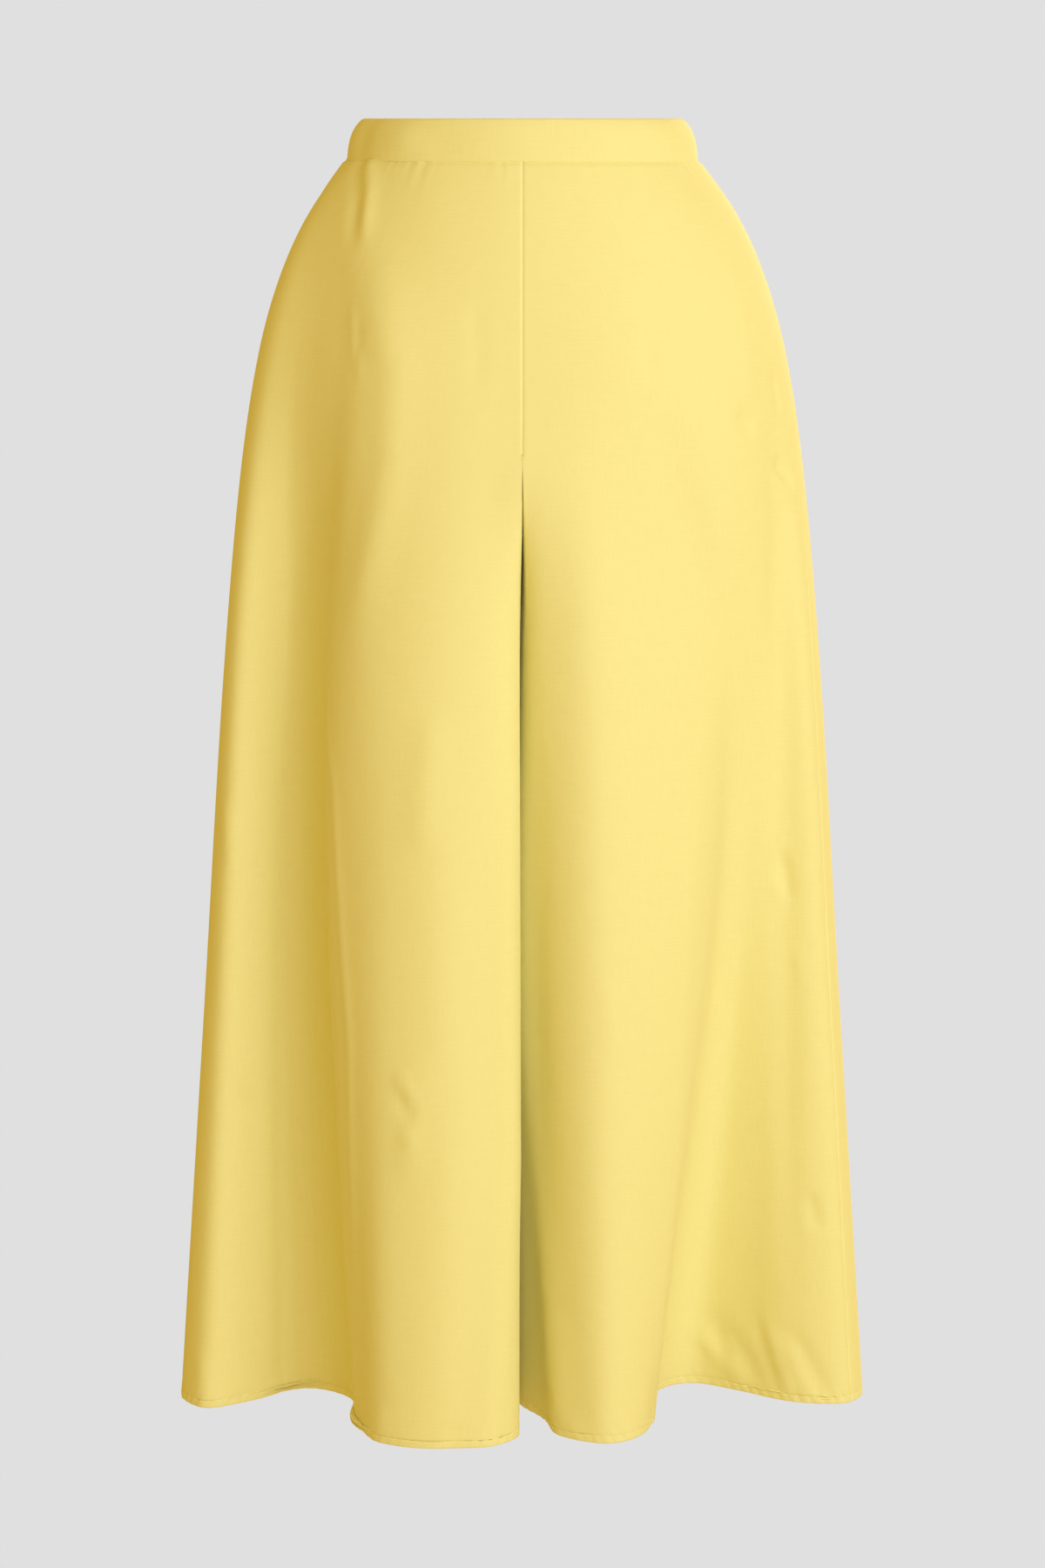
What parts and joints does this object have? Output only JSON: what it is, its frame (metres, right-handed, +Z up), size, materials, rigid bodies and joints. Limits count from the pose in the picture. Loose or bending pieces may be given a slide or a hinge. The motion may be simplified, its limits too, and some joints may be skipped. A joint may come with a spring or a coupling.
{
  "type": "palazzo pants",
  "caption": "Wide high-waisted trousers filled out as worn: flat front, gathered back waist, legs that fall in deep soft folds to a narrow hem.",
  "frame": {"origin": "centre of the waist ring at half the waistband's height, where the wearer's waist holds it", "axes": "+Z up towards the waist, the front faces -Y, the wearer's left side is at +X"},
  "size_m": [0.554, 0.282, 1.0201],
  "materials": {
    "yellow_poplin": "plain pale yellow cotton poplin, fine even weave, matte with a faint sheen"
  },
  "bodies": {
    "root": {"right_leg_front": "yellow_poplin", "left_leg_front": "yellow_poplin", "right_leg_back": "yellow_poplin", "left_leg_back": "yellow_poplin", "waistband_front": "yellow_poplin", "waistband_back": "yellow_poplin"}
  },
  "joints": []
}
